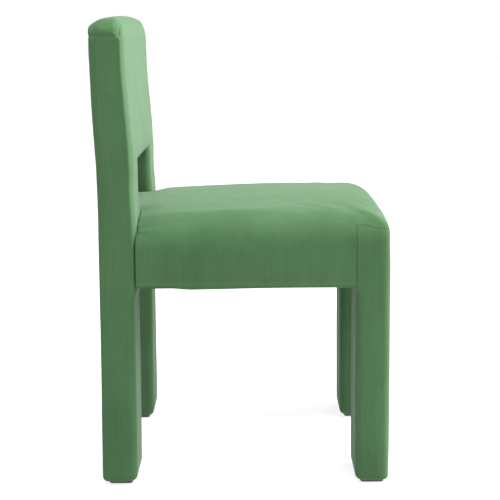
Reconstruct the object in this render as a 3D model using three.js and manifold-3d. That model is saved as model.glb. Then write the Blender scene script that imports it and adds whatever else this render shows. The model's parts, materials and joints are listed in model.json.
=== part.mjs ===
// Fully upholstered dining chair with an open back: boxy padded legs, a crowned seat and a
// raked back panel over a rectangular opening, all over a glued and screwed timber frame.
// Millimetres, +Z up. The origin is on the floor under the middle of the chair, the front
// faces -Y and the sitter's left hand is on the +X side.

import * as THREE from 'three';
import { mergeVertices } from 'three/addons/utils/BufferGeometryUtils.js';
import Module from 'manifold-3d';

const wasm = await Module();
wasm.setup();

// ---- Driving dimensions -------------------------------------------------------------------

const WIDTH = 480; // over the outer faces of the legs
const DEPTH = 507.2; // front of the seat to the rearmost point of the back
const HEIGHT = 803;
const LEG_WIDTH = 115; // along X
const LEG_DEPTH = 59; // along Y
const BACK_LEAN = 12.6; // how far the top of the back stands behind the rear legs
const LEAN_START = 440; // height where the rear posts begin to lean
const LEAN_END = 770;
const SEAT_BOTTOM = 345;
const SEAM = 438; // top of the front legs' covers
const SEAT_TOP = 479; // shoulder of the cushion, without its crown
const SEAT_CROWN = 7;
const SEAT_FALL = 24; // drop of the cushion's shoulder from the middle to the rear
const BACK_BOTTOM = 549; // underside of the back panel
const CORE_TOP = 780; // top of the timber posts

// Layers, from the outside in.
const SKIN = 1.4; // velvet with its backing
const GAP = 0.3; // clearance between touching pieces
const CORE_INSET = 6.8; // cover, gap, padding and gap, on the front and rear faces
const CORE_SIDE_INSET = 12; // the same on the outer side faces

// Feet.
const GLIDE = { length: 95, width: 40, height: 3.7, corner: 6 };
const COVER_LIFT = GLIDE.height + GAP; // underside of the leg covers
const HEM = 18; // how far the covers turn in under the legs and the seat
const CORE_FOOT = COVER_LIFT + 4.5; // lowest timber of the legs, above the turned-in covers

// Frame timber.
const RAIL = { thickness: 22, bottom: 347, top: 420 };
const TENON = { length: 18, thickness: 12, height: 40 };
const BOARD = 6; // plywood on both faces of the back frame
const BLOCK = { leg: 45, bottom: 370, top: 415, seat: 12 };
const WEB = { width: 50, thickness: 1.4, spacing: 95 };

// ---- Derived positions --------------------------------------------------------------------

const SIDE = WIDTH / 2;
const FRONT = -DEPTH / 2;
const REAR = DEPTH / 2 - BACK_LEAN; // rear face of the rear legs
const INNER = SIDE - LEG_WIDTH; // inner faces of the legs and stiles
const LEG_X = SIDE - LEG_WIDTH / 2;
const CORE = { inner: INNER + CORE_INSET, outer: SIDE - CORE_SIDE_INSET };
const FRONT_LEG = { name: 'front_leg', front: FRONT, rear: FRONT + LEG_DEPTH, top: SEAM };
const REAR_LEG = { name: 'rear_post', front: REAR - LEG_DEPTH, rear: REAR, top: BACK_BOTTOM - GAP };
const SIDES = [['left', 1], ['right', -1]];
const APRON_REAR = REAR - 2; // rear face of the seat between the posts

/** Y shift of the leaning posts and back at height z. */
const lean = (z) => BACK_LEAN * THREE.MathUtils.smoothstep(z, LEAN_START, LEAN_END);

// ---- Materials ----------------------------------------------------------------------------

const finish = (color, roughness) => new THREE.MeshStandardMaterial({ color, roughness, metalness: 0 });
const velvet = () => finish(0x5c8f5c, 0.85);
const foam = () => finish(0xe6dfc4, 0.95);
const timber = () => finish(0xc9a06c, 0.7);
const plywood = () => finish(0xd2ae7e, 0.7);
const webbing = () => finish(0x2d2f31, 0.8);
const lining = () => finish(0x17181a, 0.9);
const plastic = () => finish(0x141414, 0.5);
const steel = () => new THREE.MeshStandardMaterial({ color: 0x9a9da0, roughness: 0.35, metalness: 0.9 });

// ---- Solids -------------------------------------------------------------------------------

/** Closed three.js geometry to a solid that can be joined and cut. */
function solid(geometry) {
  const bare = geometry.clone();
  bare.deleteAttribute('normal');
  bare.deleteAttribute('uv');
  const merged = mergeVertices(bare);
  const mesh = new wasm.Mesh({
    numProp: 3,
    vertProperties: Float32Array.from(merged.attributes.position.array),
    triVerts: Uint32Array.from(merged.index.array),
  });
  return new wasm.Manifold(mesh);
}

/** Solid back to a three.js geometry. */
function shell(body) {
  const mesh = body.getMesh();
  const geometry = new THREE.BufferGeometry();
  geometry.setAttribute('position', new THREE.Float32BufferAttribute(mesh.vertProperties, 3));
  geometry.setIndex(new THREE.Uint32BufferAttribute(mesh.triVerts, 1));
  geometry.computeVertexNormals();
  return geometry;
}

/** Middle stretch of a span, `size` long. */
const centred = ([low, high], size) => [(low + high - size) / 2, (low + high + size) / 2];
const widen = ([low, high], by) => [low - by, high + by];

const join = (...bodies) => bodies.reduce((sum, body) => sum.add(body));
const cut = (body, ...tools) => tools.reduce((rest, tool) => rest.subtract(tool), body);

/** Box between two values on each axis; the two may come in either order. */
function block([x0, x1], [y0, y1], [z0, z1]) {
  const box = new THREE.BoxGeometry(Math.abs(x1 - x0), Math.abs(y1 - y0), Math.abs(z1 - z0));
  return solid(box.translate((x0 + x1) / 2, (y0 + y1) / 2, (z0 + z1) / 2));
}

/** Cylinder along the unit vector `axis`, from `start` over `length`. */
function rod(radius, start, axis, length, sides = 12) {
  const direction = new THREE.Vector3(...axis);
  const turn = new THREE.Quaternion().setFromUnitVectors(new THREE.Vector3(0, 1, 0), direction);
  const middle = direction.clone().multiplyScalar(length / 2).add(new THREE.Vector3(...start));
  const cylinder = new THREE.CylinderGeometry(radius, radius, length, sides);
  return solid(cylinder.applyQuaternion(turn).translate(middle.x, middle.y, middle.z));
}

const ROUND = 3; // curve segments of the outlines' quarter rounds
const LEAN_STEP = 55; // height between the points of a leaning edge

/** Heights between two levels where a leaning edge needs a point, lowest first. */
function leanLevels(low, high) {
  const levels = [];
  for (let z = LEAN_START; z <= LEAN_END; z += LEAN_STEP) {
    if (z > low + 1 && z < high - 1) levels.push(z);
  }
  return levels;
}

/**
 * Side outline in (y, z), leaning with the posts. `foot` rounds the lower corners, and
 * `frontTop` and `rearTop` are the half axes [y, z] of the upper corners' ellipses.
 */
function sideOutline({ front, rear, bottom, top, foot = 0, frontTop = [0, 0], rearTop = [0, 0] }) {
  const outline = new THREE.Shape();
  const quarter = Math.PI / 2;
  const topRear = rear + lean(top);
  const topFront = front + lean(top);
  const rearLevels = leanLevels(bottom + foot, top - rearTop[1]);
  const frontLevels = leanLevels(bottom + foot, top - frontTop[1]).reverse();
  outline.moveTo(front + lean(bottom) + foot, bottom);
  outline.lineTo(rear + lean(bottom) - foot, bottom);
  if (foot) outline.absellipse(rear - foot, bottom + foot, foot, foot, -quarter, 0);
  rearLevels.forEach((z) => outline.lineTo(rear + lean(z), z));
  if (rearTop[0]) {
    outline.absellipse(topRear - rearTop[0], top - rearTop[1], ...rearTop, 0, quarter);
  } else {
    outline.lineTo(topRear, top);
  }
  if (frontTop[0]) {
    outline.absellipse(topFront + frontTop[0], top - frontTop[1], ...frontTop, quarter, 2 * quarter);
  } else {
    outline.lineTo(topFront, top);
  }
  frontLevels.forEach((z) => outline.lineTo(front + lean(z), z));
  if (foot) outline.absellipse(front + foot, bottom + foot, foot, foot, 2 * quarter, 3 * quarter);
  return outline;
}

/**
 * Side outline extruded along X. `edge` is [across, in]: the half axes of the rounding between
 * the side faces and the rest, along X and into the outline.
 */
function slab(outline, [x0, x1], edge = [0, 0]) {
  const [low, high] = [Math.min(x0, x1), Math.max(x0, x1)];
  const points = outline.getPoints(ROUND);
  const distinct = points.filter((point, i) => point.distanceTo(points.at(i - 1)) > 1e-6);
  const geometry = new THREE.ExtrudeGeometry(new THREE.Shape(distinct), {
    depth: high - low - 2 * edge[0],
    bevelEnabled: edge[0] > 0,
    bevelThickness: edge[0],
    bevelSize: edge[1],
    bevelOffset: -edge[1],
    bevelSegments: 3,
  });
  geometry.translate(0, 0, low + edge[0]);
  const turn = new THREE.Matrix4().makeBasis(
    new THREE.Vector3(0, 1, 0),
    new THREE.Vector3(0, 0, 1),
    new THREE.Vector3(1, 0, 0),
  );
  return solid(geometry.applyMatrix4(turn));
}

/** Flat-faced leaning slab: a post, rail, board or tenon. */
const plank = (x, [front, rear], [bottom, top]) => slab(sideOutline({ front, rear, bottom, top }), x);

const LEG_EDGE = [12, 9]; // rounding of the legs' vertical corners
const BACK_EDGE = [40, 14]; // softer rounding of the back panel's sides
const FOOT_ROUND = 11;
const PAST = 40; // how far a shape runs past the plane that trims it

/** Outer shape of a leg, offset inwards by `inset`; it runs up past the leg's top. */
function legShape(leg, side, inset) {
  const outline = sideOutline({
    front: leg.front + inset,
    rear: leg.rear - inset,
    bottom: COVER_LIFT + inset,
    top: leg.top + PAST,
    foot: FOOT_ROUND - inset,
  });
  const across = [side * (INNER + inset), side * (SIDE - inset)];
  return slab(outline, across, LEG_EDGE.map((radius) => radius - inset));
}

/** Outer shape of the back panel, offset inwards by `inset`. */
function backShape(inset) {
  const outline = sideOutline({
    front: REAR_LEG.front + inset,
    rear: REAR_LEG.rear - inset,
    bottom: BACK_BOTTOM - PAST,
    top: HEIGHT - inset,
    frontTop: [24 - inset, 32 - inset],
    rearTop: [35 - inset, 24 - inset],
  });
  const whole = slab(outline, [inset - SIDE, SIDE - inset], BACK_EDGE.map((radius) => radius - inset));
  return cut(whole, block([-SIDE, SIDE], [0, DEPTH], [0, BACK_BOTTOM + inset]));
}

const SIDE_ROLL = 50; // width of the soft roll along the sides of the cushion
const FRONT_ROLL = 34;
const REAR_ROLL = 10;
const ROLL_BASE = 440; // height where the cushion's edges begin to roll over

/** Height of the seat's upper surface before its edges roll over. */
function seatHeight(x, y) {
  const behind = Math.max(0, (y + 50) / 290);
  const crown = SEAT_CROWN * (1 - (x / SIDE) ** 2);
  return SEAT_TOP + crown - SEAT_FALL * behind ** 1.8;
}

/**
 * Maps a grid value from -1 to 1 onto an axis whose last stretch rolls over: the position, and
 * the share of the height that is left there.
 */
function rolled(value, [low, high], [lowRoll, highRoll], flat = 0.6) {
  const [limit, roll] = value < 0 ? [low, lowRoll] : [high, highRoll];
  const sign = Math.sign(value);
  const straight = limit - sign * roll;
  const angle = (Math.max(0, Math.abs(value) - flat) / (1 - flat)) * (Math.PI / 2);
  const middle = (low + lowRoll + high - highRoll) / 2;
  const along = Math.min(1, Math.abs(value) / flat);
  if (angle === 0) return [middle + (straight - middle) * along, 1];
  return [straight + sign * roll * Math.sin(angle), Math.cos(angle)];
}

/** The crowned seat, offset inwards by `inset`, from `bottom` up. */
function cushion(inset, bottom) {
  const box = new THREE.BoxGeometry(2, 2, 2, 12, 12, 1);
  const points = box.attributes.position;
  const across = [inset - SIDE, SIDE - inset];
  const along = [FRONT + inset, APRON_REAR - inset];
  for (let i = 0; i < points.count; i += 1) {
    const [x, shareX] = rolled(points.getX(i), across, [SIDE_ROLL, SIDE_ROLL]);
    const [y, shareY] = rolled(points.getY(i), along, [FRONT_ROLL, REAR_ROLL]);
    const top = ROLL_BASE + (seatHeight(x, y) - inset - ROLL_BASE) * shareX * shareY;
    points.setXYZ(i, x, y, points.getZ(i) > 0 ? top : bottom);
  }
  const corner = 15; // clear of the legs' rounded corners, which the seat follows
  const plan = join(
    block(widen([0, 0], SIDE - corner), [-DEPTH, DEPTH], [0, HEIGHT]),
    block(widen([0, 0], SIDE), [FRONT + corner, DEPTH], [0, HEIGHT]),
    ...SIDES.map(([, side]) => legShape(FRONT_LEG, side, inset)),
  );
  return solid(box).intersect(plan);
}

// ---- Assembly -----------------------------------------------------------------------------

const chair = new THREE.Group();

/** Adds one named piece, placed by the point `at` that it is built around. */
function add(name, body, material, at = [0, 0, 0]) {
  const geometry = shell(body).translate(-at[0], -at[1], -at[2]);
  const mesh = new THREE.Mesh(geometry, material);
  mesh.name = name;
  mesh.position.set(...at);
  chair.add(mesh);
}

// Timber posts and legs, with mortises for the rails and holes for the screws and nails.

const coreSpan = (leg) => [leg.front + CORE_INSET, leg.rear - CORE_INSET];
const coreTop = (leg) => (leg === REAR_LEG ? CORE_TOP : RAIL.top);

/** Timber core of a leg, grown by `grow` on every face. */
function coreShape(leg, side, grow = 0) {
  const [front, rear] = coreSpan(leg);
  const across = [side * (CORE.inner - grow), side * (CORE.outer + grow)];
  return plank(across, [front - grow, rear + grow], [CORE_FOOT - grow, coreTop(leg) + grow]);
}

const railMiddle = (RAIL.bottom + RAIL.top) / 2;
const sideRailX = [CORE.outer - RAIL.thickness, CORE.outer];
const frontRailY = [coreSpan(FRONT_LEG)[0], coreSpan(FRONT_LEG)[0] + RAIL.thickness];
const rearRailY = [coreSpan(REAR_LEG)[1] - RAIL.thickness, coreSpan(REAR_LEG)[1]];
const backCoreY = [coreSpan(REAR_LEG)[0] + BOARD + GAP, coreSpan(REAR_LEG)[1] - BOARD - GAP];
const backFoot = BACK_BOTTOM + SKIN + 2 * GAP; // lowest timber of the back panel
const BACK_RAILS = [
  ['back_top_rail', [CORE_TOP - 80, CORE_TOP]],
  ['back_lower_rail', [backFoot, backFoot + 70]],
];

/** Tenon on the end of a rail that runs along X, or its mortise when `grow` is the gap. */
function crossTenon(side, ySpan, zSpan, grow = 0) {
  const across = [side * (CORE.inner - 2 * GAP), side * (CORE.inner + TENON.length + grow)];
  const y = widen(centred(ySpan, TENON.thickness), grow);
  return plank(across, y, widen(centred(zSpan, TENON.height), grow));
}

/** Tenon on the end of a side rail. `end` is the face it enters and `way` points into the leg. */
function sideTenon(side, end, way, grow = 0) {
  const x = widen(centred(sideRailX, TENON.thickness), grow).map((value) => side * value);
  const z = widen([railMiddle - TENON.height / 2, railMiddle + TENON.height / 2], grow);
  return block(x, [end - way * 2 * GAP, end + way * (TENON.length + grow)], z);
}

const frontJoint = coreSpan(FRONT_LEG)[1]; // face of the front legs that the side rails meet
const rearJoint = coreSpan(REAR_LEG)[0];

// Corner blocks: triangular prisms between a side rail and a leg, each held by two screws.

const SCREW = { radius: 2, head: 4.2, headHeight: 2.4, pocket: 5.2, inBlock: 12, inTimber: 14 };
const CORNERS = SIDES.flatMap(([word, side]) => [
  { name: `front_${word}`, leg: FRONT_LEG, side, joint: frontJoint, way: -1 },
  { name: `rear_${word}`, leg: REAR_LEG, side, joint: rearJoint, way: 1 },
]);

/** The two screws of a corner block: where each enters the timber and which way it points. */
function blockScrews({ side, joint, way }) {
  const arm = BLOCK.leg * 0.62;
  const x = side * (sideRailX[0] - GAP);
  return [
    { into: 'leg', at: [x - side * arm, joint, BLOCK.bottom + 15], axis: [0, way, 0] },
    { into: 'rail', at: [x, joint - way * (arm + GAP), BLOCK.top - 15], axis: [side, 0, 0] },
  ];
}

const step = (point, axis, distance) => point.map((value, i) => value + axis[i] * distance);

function screwShape({ at, axis }) {
  const seat = step(at, axis, -SCREW.inBlock);
  const shank = rod(SCREW.radius, step(seat, axis, -1), axis, SCREW.inBlock + SCREW.inTimber + 1);
  return join(shank, rod(SCREW.head, step(seat, axis, -SCREW.headHeight), axis, SCREW.headHeight));
}

/** Clearance hole of a screw, with the pocket for its head. */
function screwHole({ at, axis }) {
  const seat = step(at, axis, -SCREW.inBlock);
  const length = SCREW.inBlock + SCREW.inTimber + 1;
  const hole = rod(SCREW.radius + GAP, step(seat, axis, -1), axis, length);
  return join(hole, rod(SCREW.pocket, step(seat, axis, GAP), axis.map((value) => -value), BLOCK.leg));
}

// Nails hold the glides under the legs.

const NAIL = { radius: 1.6, head: 4.5, headLow: 0.5, headHigh: 1.6, top: 24 };
const UP = [0, 0, 1];
const legY = (leg) => (leg.front + leg.rear) / 2;

function nailShape(x, y, grow = 0) {
  const shank = rod(NAIL.radius + grow, [x, y, NAIL.headLow], UP, NAIL.top - NAIL.headLow + grow);
  const headLow = grow ? -1 : NAIL.headLow;
  return join(shank, rod(NAIL.head + grow, [x, y, headLow], UP, NAIL.headHigh + grow - headLow));
}

/** Region of the seat joint: what the rails, webbing and foam need clear of a leg's soft layers. */
function jointRegion(leg, side) {
  const [front, rear] = coreSpan(leg);
  const x = [side * (INNER - PAST), side * (CORE.outer + GAP)];
  if (leg === REAR_LEG) return block(x, [leg.front - PAST, rear + GAP], [SEAT_BOTTOM, RAIL.top + 4]);
  const z = [SEAT_BOTTOM, leg.top + 2 * PAST];
  return join(
    block(x, [front - GAP, leg.rear + PAST], z),
    block([x[0], side * (INNER + LEG_EDGE[0])], widen([leg.front, leg.rear], PAST), z),
    block([x[0], side * (SIDE + PAST)], [leg.rear - LEG_EDGE[1], leg.rear + PAST], z),
  );
}

/** Everything of a leg's soft layers above the height `z`. */
function above(leg, side, z) {
  const x = [side * (INNER - PAST), side * (SIDE + PAST)];
  return block(x, widen([leg.front, leg.rear], 2 * PAST), [z, leg.top + 2 * PAST]);
}

/** Timber core, padding and cover of one leg or post. */
function addLeg(leg, [word, side]) {
  const name = `${word}_${leg.name}`;
  const at = [side * LEG_X, legY(leg), 0];
  const corner = CORNERS.find((item) => item.side === side && item.leg === leg);
  const [legScrew] = blockScrews(corner);
  const mortises = [
    sideTenon(side, corner.joint, corner.way, GAP),
    crossTenon(side, leg === FRONT_LEG ? frontRailY : rearRailY, [RAIL.bottom, RAIL.top], GAP),
  ];
  if (leg === REAR_LEG) BACK_RAILS.forEach(([, z]) => mortises.push(crossTenon(side, backCoreY, z, GAP)));
  const nail = nailShape(at[0], at[1], GAP);
  add(name, cut(coreShape(leg, side), ...mortises, screwHole(legScrew), nail), timber(), at);

  const joint = jointRegion(leg, side);
  const padTop = leg === FRONT_LEG ? RAIL.top : leg.top;
  const padHole = plank([side * CORE.inner, side * CORE.outer], coreSpan(leg), [0, CORE_FOOT]);
  const padShape = legShape(leg, side, SKIN + GAP);
  const padding = cut(padShape, coreShape(leg, side, GAP), padHole, joint, above(leg, side, padTop));
  add(`${name}_padding`, padding, foam(), at);

  const hemHole = block(
    [side * (INNER + HEM), side * (SIDE - HEM)],
    [leg.front + HEM, leg.rear - HEM],
    [COVER_LIFT - 1, COVER_LIFT + SKIN + 2],
  );
  const cover = cut(legShape(leg, side, 0), legShape(leg, side, SKIN), hemHole, joint);
  add(`${name}_cover`, cut(cover, above(leg, side, leg.top)), velvet(), at);
}

for (const leg of [FRONT_LEG, REAR_LEG]) SIDES.forEach((entry) => addLeg(leg, entry));

// Seat rails, tenoned into the legs.

for (const [word, side] of SIDES) {
  const x = sideRailX.map((value) => side * value);
  const rail = join(
    block(x, [frontJoint + GAP, rearJoint - GAP], [RAIL.bottom, RAIL.top]),
    sideTenon(side, frontJoint, -1),
    sideTenon(side, rearJoint, 1),
  );
  const holes = CORNERS.filter((item) => item.side === side).map((item) => screwHole(blockScrews(item)[1]));
  add(`${word}_seat_rail`, cut(rail, ...holes), timber(), [side * sideRailX[0], 0, railMiddle]);
}

for (const [name, ySpan] of [['front_seat_rail', frontRailY], ['rear_seat_rail', rearRailY]]) {
  const zSpan = [RAIL.bottom, RAIL.top];
  const bar = block([GAP - CORE.inner, CORE.inner - GAP], ySpan, zSpan);
  const tenons = SIDES.map(([, side]) => crossTenon(side, ySpan, zSpan));
  add(name, join(bar, ...tenons), timber(), [0, ySpan[0], railMiddle]);
}

for (const corner of CORNERS) {
  const { name, side, joint, way } = corner;
  const [x, y] = [side * (sideRailX[0] - GAP), joint - way * GAP];
  const triangle = new THREE.Shape();
  triangle.moveTo(x, y);
  triangle.lineTo(x - side * BLOCK.leg, y);
  triangle.lineTo(x, y - way * BLOCK.leg);
  const depth = BLOCK.top - BLOCK.bottom;
  const prism = new THREE.ExtrudeGeometry(triangle, { depth, bevelEnabled: false });
  const screws = blockScrews(corner);
  const body = cut(solid(prism.translate(0, 0, BLOCK.bottom)), ...screws.map(screwHole));
  add(`${name}_corner_block`, body, timber(), [x, y, BLOCK.bottom]);
  screws.forEach((screw) => add(`${name}_${screw.into}_screw`, screwShape(screw), steel(), screw.at));
}

// Webbing: three straps across, three straps from front to rear over them.

const strapLow = RAIL.top + GAP;
const strapMiddle = (frontRailY[0] + rearRailY[1]) / 2;
const STRAP_ROWS = [['front', -1], ['middle', 0], ['rear', 1]];
const STRAP_COLUMNS = [['left', 1], ['middle', 0], ['right', -1]];
for (const [word, row] of STRAP_ROWS) {
  const y = strapMiddle + row * WEB.spacing;
  const across = widen([0, 0], CORE.outer - 3);
  const strap = block(across, widen([y, y], WEB.width / 2), [strapLow, strapLow + WEB.thickness]);
  add(`${word}_cross_webbing`, strap, webbing(), [0, y, strapLow]);
}
const upperStrap = strapLow + WEB.thickness + GAP;
for (const [word, column] of STRAP_COLUMNS) {
  const x = column * WEB.spacing;
  const y = [frontRailY[0] + 3, rearRailY[1] - 3];
  const strap = block(widen([x, x], WEB.width / 2), y, [upperStrap, upperStrap + WEB.thickness]);
  add(`${word}_long_webbing`, strap, webbing(), [x, strapMiddle, upperStrap]);
}

// Seat foam, its velvet cover with a turned hem, and the dust cover underneath.

const foamBottom = upperStrap + WEB.thickness + GAP;
const postNotch = (side) => block(
  [side * (INNER - GAP), side * (SIDE + PAST)],
  [REAR_LEG.front - GAP, REAR_LEG.rear + PAST],
  [0, HEIGHT],
);
const legNotch = (side) => join(
  block(
    [side * (INNER - GAP), side * (SIDE + PAST)],
    [FRONT_LEG.front - PAST, FRONT_LEG.rear + GAP],
    [0, RAIL.bottom],
  ),
  block(
    [side * (INNER + LEG_EDGE[0] - GAP), side * (SIDE + PAST)],
    [FRONT_LEG.front - PAST, FRONT_LEG.rear - LEG_EDGE[1] + GAP],
    [0, SEAM + GAP],
  ),
);
const postNotches = SIDES.map(([, side]) => postNotch(side));
const legNotches = SIDES.map(([, side]) => legNotch(side));
const seatAt = [0, strapMiddle, SEAT_BOTTOM];

add('seat_foam', cut(cushion(SKIN + 2 * GAP, foamBottom), ...postNotches), foam(), seatAt);

const hemOpening = block(
  widen([0, 0], SIDE - HEM),
  [FRONT + HEM, APRON_REAR - HEM],
  [SEAT_BOTTOM - 1, SEAT_BOTTOM + SKIN + 1],
);
const seatShell = cut(cushion(0, SEAT_BOTTOM), cushion(SKIN, SEAT_BOTTOM + SKIN), hemOpening);
add('seat_cover', cut(seatShell, ...postNotches, ...legNotches), velvet(), seatAt);

const LINING = { edge: 7, thickness: 1.2 };
const liningTop = SEAT_BOTTOM - GAP;
const lined = block(
  widen([0, 0], SIDE - LINING.edge),
  [FRONT + LINING.edge, APRON_REAR - LINING.edge],
  [liningTop - LINING.thickness, liningTop],
);
add('dust_cover', cut(lined, ...postNotches, ...legNotches), lining(), [0, strapMiddle, liningTop]);

// Back frame: two rails tenoned between the posts, plywood on both faces, foam and covers.

const backX = [GAP - CORE.inner, CORE.inner - GAP];
for (const [name, z] of BACK_RAILS) {
  const tenons = SIDES.map(([, side]) => crossTenon(side, backCoreY, z));
  const middle = (backCoreY[0] + backCoreY[1]) / 2;
  add(name, join(plank(backX, backCoreY, z), ...tenons), timber(), [0, middle, z[0]]);
}

const [coreFront, coreRear] = coreSpan(REAR_LEG);
const BOARDS = [['back_front_board', coreFront], ['back_rear_board', coreRear - BOARD]];
for (const [name, front] of BOARDS) {
  const board = plank(backX, [front, front + BOARD], [backFoot, CORE_TOP]);
  add(name, board, plywood(), [0, front, backFoot]);
}

const backCore = plank(
  widen([0, 0], CORE.outer + GAP),
  widen([coreFront, coreRear], GAP),
  [BACK_BOTTOM - PAST, CORE_TOP + GAP],
);
const backAt = [0, legY(REAR_LEG), BACK_BOTTOM];
add('back_foam', cut(backShape(SKIN + GAP), backCore), foam(), backAt);

const passages = SIDES.map(([, side]) => coreShape(REAR_LEG, side, GAP));
const backCover = cut(backShape(0), backShape(SKIN), ...passages);
const COVER_SEAM = 14; // depth of the seam behind the panel's front face
const seam = REAR_LEG.front + COVER_SEAM;
const coverHeights = [BACK_BOTTOM - PAST, HEIGHT + PAST];
const behindSeam = plank(widen([0, 0], SIDE + PAST), [seam - GAP, DEPTH], coverHeights);
const beforeSeam = plank(widen([0, 0], SIDE + PAST), [0, seam], coverHeights);
add('inside_back_cover', cut(backCover, behindSeam), velvet(), backAt);
add('outside_back_cover', cut(backCover, beforeSeam), velvet(), backAt);

// Glides and their nails.

function glideShape(x, y) {
  const outline = new THREE.Shape();
  const [w, d, r] = [GLIDE.length / 2, GLIDE.width / 2, GLIDE.corner];
  outline.absarc(w - r, d - r, r, 0, Math.PI / 2);
  outline.absarc(r - w, d - r, r, Math.PI / 2, Math.PI);
  outline.absarc(r - w, r - d, r, Math.PI, 1.5 * Math.PI);
  outline.absarc(w - r, r - d, r, 1.5 * Math.PI, 2 * Math.PI);
  const thickness = { depth: GLIDE.height, bevelEnabled: false, curveSegments: ROUND };
  return solid(new THREE.ExtrudeGeometry(outline, thickness).translate(x, y, 0));
}

for (const leg of [FRONT_LEG, REAR_LEG]) {
  for (const [word, side] of SIDES) {
    const [x, y] = [side * LEG_X, legY(leg)];
    const name = `${word}_${leg.name.split('_')[0]}`;
    add(`${name}_glide`, cut(glideShape(x, y), nailShape(x, y, GAP)), plastic(), [x, y, 0]);
    add(`${name}_glide_nail`, nailShape(x, y), steel(), [x, y, 0]);
  }
}

export default chair;
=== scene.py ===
"""Looks of the velvet dining chair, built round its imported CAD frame. Metres, +Z up."""

import json
import math

import bmesh
import bpy
import numpy as np
from mathutils import Matrix, Vector

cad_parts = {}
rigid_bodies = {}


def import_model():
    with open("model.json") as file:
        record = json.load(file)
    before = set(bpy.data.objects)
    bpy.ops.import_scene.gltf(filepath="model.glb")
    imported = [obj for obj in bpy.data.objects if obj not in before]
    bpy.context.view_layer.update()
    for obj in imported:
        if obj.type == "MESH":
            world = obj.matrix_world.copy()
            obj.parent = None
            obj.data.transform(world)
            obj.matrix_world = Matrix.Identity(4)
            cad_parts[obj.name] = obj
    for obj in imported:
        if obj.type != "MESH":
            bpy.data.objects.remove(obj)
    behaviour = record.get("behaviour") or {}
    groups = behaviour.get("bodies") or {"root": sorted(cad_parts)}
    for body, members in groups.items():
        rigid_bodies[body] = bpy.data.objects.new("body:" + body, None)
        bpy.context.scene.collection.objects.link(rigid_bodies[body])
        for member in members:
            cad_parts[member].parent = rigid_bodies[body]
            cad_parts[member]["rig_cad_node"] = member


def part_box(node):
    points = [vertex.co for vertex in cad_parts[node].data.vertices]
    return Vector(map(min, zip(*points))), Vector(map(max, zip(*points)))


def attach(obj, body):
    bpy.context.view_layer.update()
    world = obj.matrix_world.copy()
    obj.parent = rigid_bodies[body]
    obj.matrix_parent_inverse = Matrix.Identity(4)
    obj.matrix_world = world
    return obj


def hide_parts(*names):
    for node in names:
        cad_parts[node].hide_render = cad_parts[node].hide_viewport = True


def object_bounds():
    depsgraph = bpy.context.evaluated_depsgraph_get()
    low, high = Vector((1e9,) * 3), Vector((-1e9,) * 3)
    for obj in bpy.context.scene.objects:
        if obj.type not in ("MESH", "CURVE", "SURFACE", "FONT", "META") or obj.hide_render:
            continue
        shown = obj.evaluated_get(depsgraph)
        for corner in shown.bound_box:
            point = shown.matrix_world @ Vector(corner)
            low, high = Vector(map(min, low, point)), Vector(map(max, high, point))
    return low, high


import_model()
cad_low, cad_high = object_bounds()
scene = bpy.context.scene

MM = 0.001

# ---- Places, read from the frame ------------------------------------------------------------

SEAT_LOW, SEAT_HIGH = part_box("seat_cover")
LEG_LOW, LEG_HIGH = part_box("left_front_leg_cover")
POST_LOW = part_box("left_rear_post_cover")[0]
PANEL_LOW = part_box("outside_back_cover")[0]
LINING_LOW, LINING_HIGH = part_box("dust_cover")

SIDE = cad_high.x  # outer faces of the legs
INNER = LEG_LOW.x  # inner faces of the legs and stiles
FRONT = cad_low.y
LEG_REAR = LEG_HIGH.y  # rear faces of the front legs
POST_FRONT = POST_LOW.y  # front faces of the rear posts
POST_REAR = POST_FRONT + (LEG_HIGH.y - LEG_LOW.y)
FOOT = LEG_LOW.z  # underside of the covers, on top of the glides
TOP = cad_high.z
PANEL_BOTTOM = PANEL_LOW.z
BACK_LEAN = cad_high.y - POST_REAR
LEAN_START, LEAN_END = 0.440, 0.770  # heights between which the posts and panel lean back
SEAT_BOTTOM = SEAT_LOW.z
APRON_REAR = SEAT_HIGH.y  # rear face of the seat, between the rear posts


# ---- Shape fields ---------------------------------------------------------------------------
# Each returns a signed distance in metres, negative inside, for arrays of x, y and z.


def smooth(low, high, value):
    """0 below low, 1 above high, an S curve between."""
    t = np.clip((value - low) / (high - low), 0, 1)
    return t * t * (3 - 2 * t)


def mix(a, b, share):
    return a + (b - a) * share


def bump_at(distance, width):
    """A smooth ridge of height 1 where the distance is 0."""
    return np.exp(-((distance / width) ** 2))


def rounded(a, b, ra, rb):
    """Where two solids with distances a and b overlap, their edge rounded by half axes ra, rb."""
    qa, qb = np.maximum(a + ra, 0) / ra, np.maximum(b + rb, 0) / rb
    size = np.maximum(qa * qa + qb * qb, 1e-12)
    length = np.sqrt(size)
    edge = (length - 1) * (qa * qa * ra + qb * qb * rb) / size
    return np.where(length > 1e-5, np.maximum(edge, np.maximum(a, b)), np.maximum(a, b))


def joined(a, b, radius):
    """Where either of two distances is inside, with a hollow corner of the given radius."""
    near = np.maximum(radius - np.abs(a - b), 0) / radius
    return np.minimum(a, b) - near * near * radius / 4


VELVET_LEAN = BACK_LEAN - 2.8 * MM  # the velvet leans a little less than the CAD covers


def lean(z):
    """How far back the rear posts and panel stand at height z."""
    return VELVET_LEAN * smooth(LEAN_START + 0.01, LEAN_END, z)


def plumpness(z):
    """How far the cover stands in front of the posts and panel at height z."""
    panel = 4.5 * MM * smooth(0.315, 0.343, z) * (1 - smooth(0.56, 0.74, z))
    drawn_in = 1.8 * MM * bump_at(z - 0.505, 0.035)
    return panel - 0.8 * MM + 0.2 * MM * smooth(0.50, 0.62, z) - drawn_in


REAR_ROUND = 0.041  # depth of the rounding from the back's highest line to its rear face
FRONT_DROP, REAR_DROP = 0.039, 0.020  # how far down the top's rounding reaches, front and rear
FOOT_EDGE = 11 * MM, 10 * MM  # half axes of the rounding under every leg


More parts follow.
